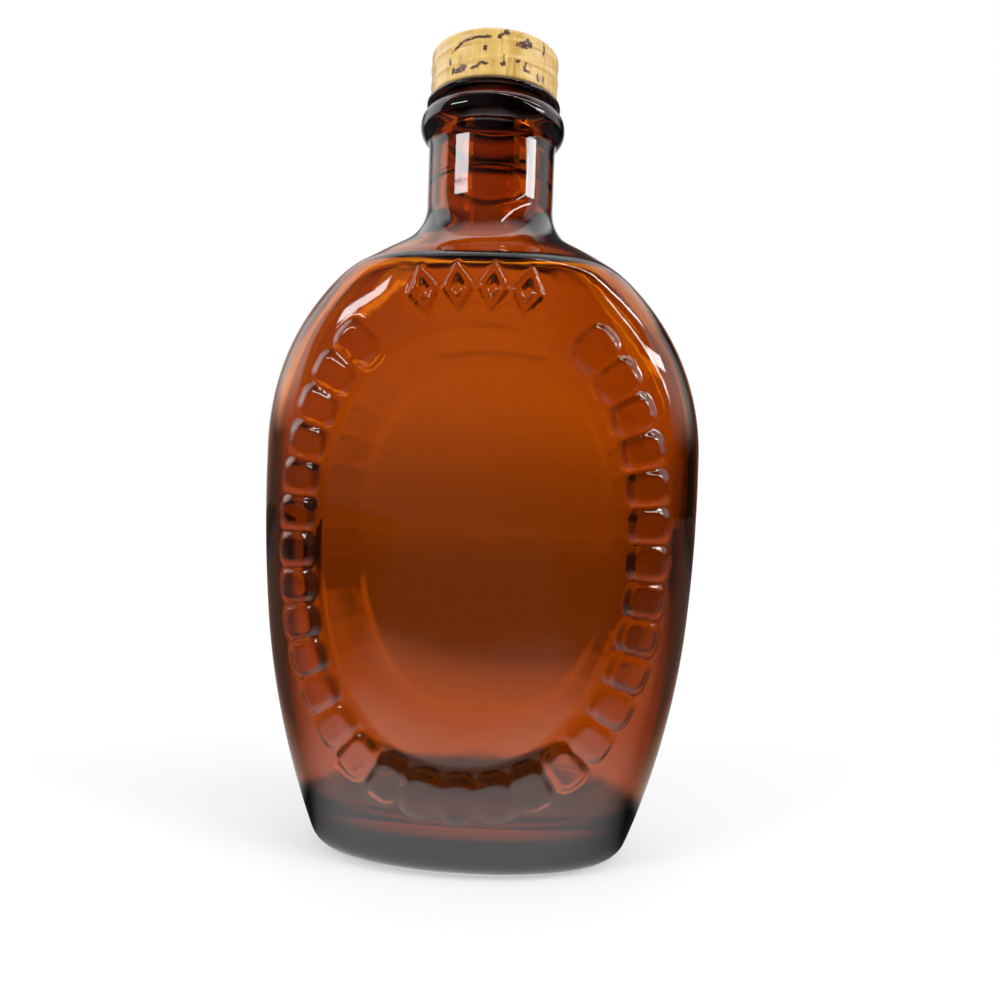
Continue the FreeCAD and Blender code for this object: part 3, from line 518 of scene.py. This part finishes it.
def chip_wear(radius, z, angles):
    """Wear from 0 to 1: over each chip, core - distance in the chip's own half sizes, the highest wins."""
    worn = np.zeros(z.shape)
    for turn, height, wide, tall, tilt in CHIPS:
        u = ((angles - math.radians(turn) + PI) % (2 * PI) - PI) * CAP_OUT
        v = z - CAP_LOW - height
        c, s = math.cos(math.radians(tilt)), math.sin(math.radians(tilt))
        away = np.hypot((u * c + v * s) / wide, (v * c - u * s) / tall) / CHIP_GROWTH
        worn = np.maximum(worn, CHIP_CORE - away)
    outside = (radius > CAP_OUT - WEAR_IN) * (z > CAP_LOW + WEAR_LOW)
    return np.clip(worn, 0, 1) * outside


def build_cap(material):
    """Turned sheet cap: x = radius * cos, y = radius * sin, with the chips' wear as a point attribute."""
    profile = cap_profile()
    angles = np.linspace(0, 2 * PI, CAP_COLUMNS, endpoint=False)
    z = profile[:, 1:] + 0 * angles
    radius = roll_thread(np.broadcast_to(profile[:, :1], z.shape), z, angles)
    grid = np.stack([radius * np.cos(angles), radius * np.sin(angles), z], -1)
    points = np.concatenate([grid.reshape(-1, 3), [[0, 0, CAP_CEILING], [0, 0, CAP_TOP]]])
    count = grid.shape[0] * CAP_COLUMNS
    faces = [
        fan(count, np.arange(CAP_COLUMNS), True),
        lay_grid(len(grid), CAP_COLUMNS, 0),
        fan(count + 1, count - CAP_COLUMNS + np.arange(CAP_COLUMNS), False),
    ]
    piece = make_piece("screw_cap", points, faces, material, "cap")
    values = np.concatenate([chip_wear(radius, z, angles).ravel(), [0, 0]])
    layer = piece.data.attributes.new("worn", "FLOAT", "POINT")
    layer.data.foreach_set("value", values.astype(np.float32))
    return piece


# ------------------------------------------------------------------ node making
def join(tree, value, socket):
    """Link a node's first output or a socket to a socket, or write a plain value on it."""
    if isinstance(value, bpy.types.Node):
        value = next(out for out in value.outputs if out.enabled)
    if isinstance(value, bpy.types.NodeSocket):
        tree.links.new(value, socket)
    else:
        socket.default_value = value


def add_node(tree, kind, settings=None, **inputs):
    """Node of a kind; settings are its properties, inputs its sockets by name with _ for a blank."""
    made = tree.nodes.new("ShaderNode" + kind)
    for key, value in (settings or {}).items():
        setattr(made, key, value)
    for key, value in inputs.items():
        join(tree, value, made.inputs[key.replace("_", " ")])
    return made


def maths(tree, operation, *values):
    """Math node on one to three values."""
    made = tree.nodes.new("ShaderNodeMath")
    made.operation = operation
    for value, socket in zip(values, made.inputs):
        join(tree, value, socket)
    return made


def plus(tree, first, second):
    """Sum of two values."""
    return maths(tree, "ADD", first, second)


def minus(tree, first, second):
    """Difference of two values."""
    return maths(tree, "SUBTRACT", first, second)


def times(tree, first, second):
    """Product of two values."""
    return maths(tree, "MULTIPLY", first, second)


def times_plus(tree, first, second, third):
    """Product of two values, and a third added."""
    return maths(tree, "MULTIPLY_ADD", first, second, third)


def larger(tree, first, second):
    """The larger of two values."""
    return maths(tree, "MAXIMUM", first, second)


def fade(tree, value, start, end, before=0.0, after=1.0):
    """Smooth change from before to after while value runs from start to end."""
    made = tree.nodes.new("ShaderNodeMapRange")
    made.interpolation_type = "SMOOTHSTEP"
    for amount, socket in zip((value, start, end, before, after), made.inputs):
        join(tree, amount, socket)
    return made


def blend_colours(tree, share, first, second):
    """Mix of two colours; the node's colour sockets are its inputs 6 and 7 and its output 2."""
    made = tree.nodes.new("ShaderNodeMix")
    made.data_type = "RGBA"
    for value, index in zip((share, first, second), (0, 6, 7)):
        join(tree, value, made.inputs[index])
    return made.outputs[2]


def new_material(name):
    """Empty node material and its tree, with the output node in place."""
    material = bpy.data.materials.new(name)
    material.use_nodes = True
    material.node_tree.nodes.clear()
    return material, material.node_tree, material.node_tree.nodes.new("ShaderNodeOutputMaterial")


# ------------------------------------------------------------------ finishes
GLASS_TINT, GLASS_DEPTH, GLASS_DENSITY = (0.95, 0.46, 0.17, 1), (0.906, 0.835, 0.5, 1), 1200.0
WOOD_DARK, WOOD_PALE = (0.56, 0.345, 0.080, 1), (0.72, 0.48, 0.145, 1)
WOOD_STREAK, WOOD_PORE = (0.82, 0.62, 0.26, 1), (0.30, 0.15, 0.03, 1)
UNDERCOAT = (0.090, 0.032, 0.028, 1)
# the grain runs up the cap at a slant, in radians, and is drawn out along itself
GRAIN_SLANT, GRAIN_SCALE = (0.0, 0.70, 0.0), (1.0, 1.0, 0.13)


def amber_glass():
    """Bottle glass: smooth, a little wavy and rippled, with the faintest haze.

    The amber comes partly from a tint at each surface, partly from the length of glass that light crosses."""
    material, tree, out = new_material("amber_bottle_glass")
    place = add_node(tree, "TexCoord").outputs["Object"]
    wave = add_node(tree, "TexNoise", Vector=place, Scale=55.0, Detail=2.0, Roughness=0.5)
    haze = add_node(tree, "TexNoise", Vector=place, Scale=900.0, Detail=3.0, Roughness=0.6)
    ripple = add_node(tree, "TexNoise", Vector=place, Scale=420.0, Detail=2.0, Roughness=0.6)
    height = times_plus(tree, ripple, 0.05, wave)
    bump = add_node(tree, "Bump", Strength=0.25, Distance=0.0006, Height=height)
    gloss = fade(tree, haze, 0.45, 0.75, before=0.0, after=0.045)
    glass = add_node(
        tree, "BsdfPrincipled", Base_Color=GLASS_TINT, IOR=1.5, Transmission_Weight=1.0,
        Roughness=gloss, Normal=bump)
    amber = add_node(tree, "VolumeAbsorption", Color=GLASS_DEPTH, Density=GLASS_DENSITY)
    tree.links.new(glass.outputs[0], out.inputs["Surface"])
    tree.links.new(amber.outputs[0], out.inputs["Volume"])
    return material


def printed_metal():
    """Cap lacquer printed like pale wood, chipped through to the dark undercoat where it is worn.

    Broad noise gives the grain, fine noise its streaks and pores; a chip starts where wear times a
    crumbling noise passes a level, so that its edge is ragged."""
    material, tree, out = new_material("wood_print_lacquer")
    place = add_node(tree, "TexCoord").outputs["Object"]
    slant = add_node(tree, "Mapping", Vector=place, Rotation=GRAIN_SLANT, Scale=GRAIN_SCALE)
    broad = add_node(
        tree, "TexNoise", Vector=slant, Scale=170.0, Detail=4.0, Roughness=0.55, Distortion=0.6)
    fine = add_node(tree, "TexNoise", Vector=slant, Scale=900.0, Detail=5.0, Roughness=0.7)
    tone = blend_colours(tree, fade(tree, broad, 0.38, 0.66), WOOD_DARK, WOOD_PALE)
    tone = blend_colours(tree, fade(tree, fine, 0.56, 0.72, after=0.55), tone, WOOD_STREAK)
    tone = blend_colours(tree, fade(tree, fine, 0.47, 0.34, after=0.5), tone, WOOD_PORE)
    worn = add_node(tree, "Attribute", {"attribute_name": "worn"}).outputs["Fac"]
    crumble = add_node(tree, "TexNoise", Vector=place, Scale=1500.0, Detail=4.0, Roughness=0.7)
    ragged = times(tree, worn, times_plus(tree, crumble, 4.0, -1.0))
    chipped = fade(tree, ragged, 0.55, 0.66)
    tone = blend_colours(tree, chipped, tone, UNDERCOAT)
    gloss = plus(tree, fade(tree, broad, 0.3, 0.7, before=0.26, after=0.36), times(tree, chipped, 0.25))
    depth = minus(tree, times(tree, fine, 0.12), chipped)
    bump = add_node(tree, "Bump", Strength=0.6, Distance=0.00012, Height=depth)
    lacquer = add_node(
        tree, "BsdfPrincipled", Base_Color=tone, Roughness=gloss, IOR=1.5, Normal=bump,
        Coat_Weight=0.4, Coat_Roughness=0.2)
    tree.links.new(lacquer.outputs[0], out.inputs["Surface"])
    return material


# ------------------------------------------------------------------ studio
# Fades below are (start, end) or (start, end, level before, level after).  The room's run over azimuth, in
# degrees from the camera's side towards +X, or over the x or z of the direction.
BACKDROP_LEFT, BACKDROP_RIGHT = (-126.0, -154.0), (150.0, 168.0)
BACKDROP_FOOT, BACKDROP_HEAD = (-0.02, 0.15, 0.44, 0.88), (0.31, 0.52, 1.0, 0.08)
WALLS_NEAR, WALLS_FAR, WALLS_BALANCE = (79.0, 85.0), (118.0, 142.0, 1.0, 0.0), (-0.6, 0.6, 1.8, 1.0)
WALLS_FOOT, WALLS_HEAD = (0.05, 0.24, 0.0, 1.1), (0.80, 0.92, 1.0, 0.0)
CORNERS_NEAR, CORNERS_FAR, CORNERS_FOOT = (100.0, 118.0), (152.0, 166.0, 1.4, 0.0), (0.42, 0.56)
ROOM_BALANCE, CEILING = (-0.5, 0.5, 0.12, 0.02), (0.88, 0.98, 0.0, 1.2)
# windows: azimuth, half width, low and high elevation, all in degrees, rise per degree, strength
WINDOWS = (
    (-50.0, 13.0, 20.0, 23.6, 0.0, 14.0),
    (82.0, 9.0, 18.3, 23.0, 0.0, 15.0),
    (70.0, 15.0, 21.0, 23.5, -0.72, 12.0),
    (55.0, 33.0, 48.5, 52.0, -0.54, 15.0),
)
WINDOW_SOFT_SIDE, WINDOW_SOFT_EDGE = 1.0, 0.5
WHITE, MATT_LIGHT = (1.0, 1.0, 1.0, 1.0), (0.75, 0.75, 0.75, 1.0)
# table: paint, the tint of the light and shade painted on it for the glass, half side, and how it runs out to
# white with the distance
TABLE_PAINT, PAINTED_TABLE_TINT, TABLE_HALF = (0.93, 0.93, 0.93, 1), (0.97, 0.98, 1.0, 1), 3.0
RUN_OUT = (0.10, 0.34, 0.45, 1.0)
# table as the glass sees it, with light and shade painted into its brightness, over y in metres: painted
# light behind the flask, bowed round it, and far off
BEHIND, BEHIND_BOW, BEHIND_END = (0.10, 0.50, 0.84, 0.0), 8.0, (0.5, 1.1, 1.0, 0.0)
FAR_OFF = (0.8, 3.0, 0.33, 0.46)
# before the flask, a painted pool of light near it that runs into painted shade further off, the change from
# front to back, and the painted shadow under the flask, bowed too
BEFORE, BEFORE_END, MIDDLE = (-0.05, -0.20, 2.1, 0.5), (-0.2, -0.5, 1.0, 0.15), (-0.04, 0.0)
FOOTPRINT_SHADOW, FOOTPRINT_SHADOW_BOW = (0.060, 0.100, 0.05, 1.0), 12.0
# painted shade to both sides of a lane that widens with the distance, by these slopes
SHADE_ASIDE, RIGHT_SLOPE, LEFT_SLOPE = (0.02, 0.14, 1.0, 0.15), 0.26, 0.42
# lamps: name, place, width, height, watts; what they aim at
LAMPS = (
    ("window_lamp_left", (-1.0, -0.9, 1.0), 0.5, 0.8, 7.0),
    ("window_lamp_right", (1.2, -0.6, 0.9), 0.4, 0.8, 5.0),
)
LAMP_AIM = Vector((0, 0, 0.12))
# camera: distance from the flask's axis and height in metres, angles in radians, sensor and lens in mm
CAMERA_DISTANCE, CAMERA_HEIGHT = 0.2714, 0.1054
CAMERA_SIDE, CAMERA_ROLL, CAMERA_TURN, CAMERA_PITCH = 0.0967, 0.0361, 0.0232, 0.0013
CAMERA_SENSOR, CAMERA_LENS, CAMERA_NEAR, CAMERA_FAR = 36.0, 31.68, 0.01, 20.0


def room_level(tree, turn, x, z):
    """Brightness of the room: a backdrop behind the flask, side walls, high back corners, and a ceiling."""
    aside = maths(tree, "ABSOLUTE", turn)
    behind = plus(tree, fade(tree, turn, *BACKDROP_LEFT), fade(tree, turn, *BACKDROP_RIGHT))
    rising = times(tree, fade(tree, z, *BACKDROP_FOOT), fade(tree, z, *BACKDROP_HEAD))
    backdrop = times(tree, rising, behind)
    upright = times(tree, fade(tree, z, *WALLS_FOOT), fade(tree, z, *WALLS_HEAD))
    walls = times(tree, fade(tree, aside, *WALLS_NEAR), fade(tree, aside, *WALLS_FAR))
    walls = times(tree, walls, fade(tree, x, *WALLS_BALANCE))
    corners = times(tree, fade(tree, aside, *CORNERS_NEAR), fade(tree, aside, *CORNERS_FAR))
    corners = times(tree, corners, fade(tree, z, *CORNERS_FOOT))
    high_sides = larger(tree, times(tree, walls, upright), corners)
    least = fade(tree, x, *ROOM_BALANCE)
    ceiling = fade(tree, z, *CEILING)
    return plus(tree, larger(tree, larger(tree, backdrop, least), high_sides), ceiling)


def add_window(tree, room, turn, rise, window):
    """Room with one soft-edged window added: strength inside its azimuths and its band of elevations."""
    middle, half, low, high, slope, strength = window
    off = minus(tree, turn, middle)
    level = times_plus(tree, off, -slope, rise)
    away = maths(tree, "ABSOLUTE", off)
    sides = fade(tree, away, half + WINDOW_SOFT_SIDE, half - WINDOW_SOFT_SIDE)
    bottom = fade(tree, level, low - WINDOW_SOFT_EDGE, low + WINDOW_SOFT_EDGE)
    top = fade(tree, level, high + WINDOW_SOFT_EDGE, high - WINDOW_SOFT_EDGE, before=0.0, after=strength)
    return times_plus(tree, times(tree, sides, bottom), top, room)


def studio_world():
    """White for the camera, an even grey for matt surfaces; glass and lacquer see a plain room with windows.

    From the direction (x, y, z): azimuth = atan2(x, -y) and elevation = asin(z), both in degrees."""
    world = bpy.data.worlds.new("studio")
    bpy.context.scene.world = world
    world.use_nodes = True
    tree = world.node_tree
    tree.nodes.clear()
    out = tree.nodes.new("ShaderNodeOutputWorld")
    way = add_node(tree, "SeparateXYZ", Vector=add_node(tree, "TexCoord").outputs["Generated"])
    x, y, z = way.outputs
    turn = times(tree, maths(tree, "ARCTAN2", x, times(tree, y, -1.0)), 180 / PI)
    rise = times(tree, maths(tree, "ARCSINE", z), 180 / PI)
    room = room_level(tree, turn, x, z)
    for window in WINDOWS:
        room = add_window(tree, room, turn, rise, window)
    path = add_node(tree, "LightPath").outputs
    lit = blend_colours(tree, path["Is Diffuse Ray"], room, MATT_LIGHT)
    shown = blend_colours(tree, path["Is Camera Ray"], lit, WHITE)
    light = add_node(tree, "Background", Color=shown, Strength=1.0)
    tree.links.new(light.outputs[0], out.inputs["Surface"])


def painted_table_light(tree, x, y):
    """Painted light and shade of the table for glass and lacquer: fades along y, a painted shadow under the
    flask and painted shade aside.
    """
    x_squared = times(tree, x, x)
    bowed = minus(tree, y, times(tree, x_squared, BEHIND_BOW))
    behind = times(tree, fade(tree, bowed, *BEHIND), fade(tree, y, *BEHIND_END))
    far_off = fade(tree, y, *FAR_OFF)
    # painted pool of light just before the flask, painted shade further off
    front_half = times(tree, fade(tree, y, *BEFORE), fade(tree, y, *BEFORE_END))
    # painted shadow under the flask
    footprint_shadow = fade(tree, times_plus(tree, x_squared, FOOTPRINT_SHADOW_BOW, y), *FOOTPRINT_SHADOW)
    back_half = times(tree, larger(tree, behind, far_off), footprint_shadow)
    change = minus(tree, back_half, front_half)
    along = times_plus(tree, fade(tree, y, *MIDDLE), change, front_half)
    # painted shade to both sides of a lane that widens with the distance
    depth = maths(tree, "ABSOLUTE", y)
    to_right = times_plus(tree, depth, -RIGHT_SLOPE, x)
    to_left = minus(tree, times(tree, depth, -LEFT_SLOPE), x)
    return times(tree, along, fade(tree, larger(tree, to_right, to_left), *SHADE_ASIDE))


def mix_shaders(tree, share, first, second):
    """Mix of two shaders."""
    made = add_node(tree, "MixShader", Fac=share)
    tree.links.new(first.outputs[0], made.inputs[1])
    tree.links.new(second.outputs[0], made.inputs[2])
    return made


def pale_table():
    """Pale paint that keeps the soft shadow near the flask and runs out to white; the glass sees an emission
    with painted light and shade instead.
    """
    material, tree, out = new_material("pale_table")
    place = add_node(tree, "TexCoord").outputs["Object"]
    x, y, _ = add_node(tree, "SeparateXYZ", Vector=place).outputs
    away = add_node(tree, "VectorMath", {"operation": "LENGTH"}, Vector=place).outputs["Value"]
    paint = add_node(tree, "BsdfDiffuse", Color=TABLE_PAINT)
    white = add_node(tree, "Emission", Color=WHITE, Strength=1.0)
    shown = mix_shaders(tree, fade(tree, away, *RUN_OUT), paint, white)
    # emission seen only by glass and lacquer: the table with painted light, painted shade and a painted
    # shadow under the flask
    painted_table_glow = add_node(tree, "Emission", Color=PAINTED_TABLE_TINT, Strength=painted_table_light(tree, x, y))
    path = add_node(tree, "LightPath").outputs
    by_glass = larger(tree, path["Is Transmission Ray"], path["Is Glossy Ray"])
    final = mix_shaders(tree, by_glass, shown, painted_table_glow)
    tree.links.new(final.outputs[0], out.inputs["Surface"])
    return material


def lay_table(material):
    """Square table top in the plane z = 0."""
    mesh = bpy.data.meshes.new("table_top")
    half = TABLE_HALF
    corners = [(-half, -half, 0), (half, -half, 0), (half, half, 0), (-half, half, 0)]
    mesh.from_pydata(corners, [], [(0, 1, 2, 3)])
    mesh.materials.append(material)
    table = bpy.data.objects.new("table_top", mesh)
    bpy.context.scene.collection.objects.link(table)


def soft_lamp(name, place, wide, tall, watts):
    """Rectangular lamp aimed at the middle of the flask; it lights, and glossy surfaces don't mirror it."""
    lamp = bpy.data.lights.new(name, "AREA")
    lamp.shape, lamp.size, lamp.size_y, lamp.energy = "RECTANGLE", wide, tall, watts
    holder = bpy.data.objects.new(name, lamp)
    holder.location = place
    holder.rotation_euler = (LAMP_AIM - Vector(place)).to_track_quat("-Z", "Y").to_euler()
    holder.visible_glossy = False
    bpy.context.scene.collection.objects.link(holder)


def place_camera():
    """Camera a little below the flask's middle and to its right, rolled two degrees."""
    heading = CAMERA_SIDE - CAMERA_TURN
    right = Vector((math.cos(heading), math.sin(heading), 0))
    level = Vector((-math.sin(heading), math.cos(heading), 0))
    ahead = level * math.cos(CAMERA_PITCH) + Vector((0, 0, 1)) * math.sin(CAMERA_PITCH)
    up = right.cross(ahead)
    rolled_right = right * math.cos(CAMERA_ROLL) + up * math.sin(CAMERA_ROLL)
    rolled_up = up * math.cos(CAMERA_ROLL) - right * math.sin(CAMERA_ROLL)
    data = bpy.data.cameras.new("camera")
    data.sensor_width, data.lens = CAMERA_SENSOR, CAMERA_LENS
    data.clip_start, data.clip_end = CAMERA_NEAR, CAMERA_FAR
    camera = bpy.data.objects.new("camera", data)
    bpy.context.scene.collection.objects.link(camera)
    turned = Matrix((rolled_right, rolled_up, -ahead)).transposed().to_4x4()
    across, back = CAMERA_DISTANCE * math.sin(CAMERA_SIDE), -CAMERA_DISTANCE * math.cos(CAMERA_SIDE)
    turned.translation = (across, back, CAMERA_HEIGHT)
    camera.matrix_world = turned
    bpy.context.scene.camera = camera


place_camera()
build_flask(amber_glass())
build_cap(printed_metal())
studio_world()
lay_table(pale_table())
for lamp_row in LAMPS:
    soft_lamp(*lamp_row)
bpy.context.scene.view_settings.view_transform = "Standard"
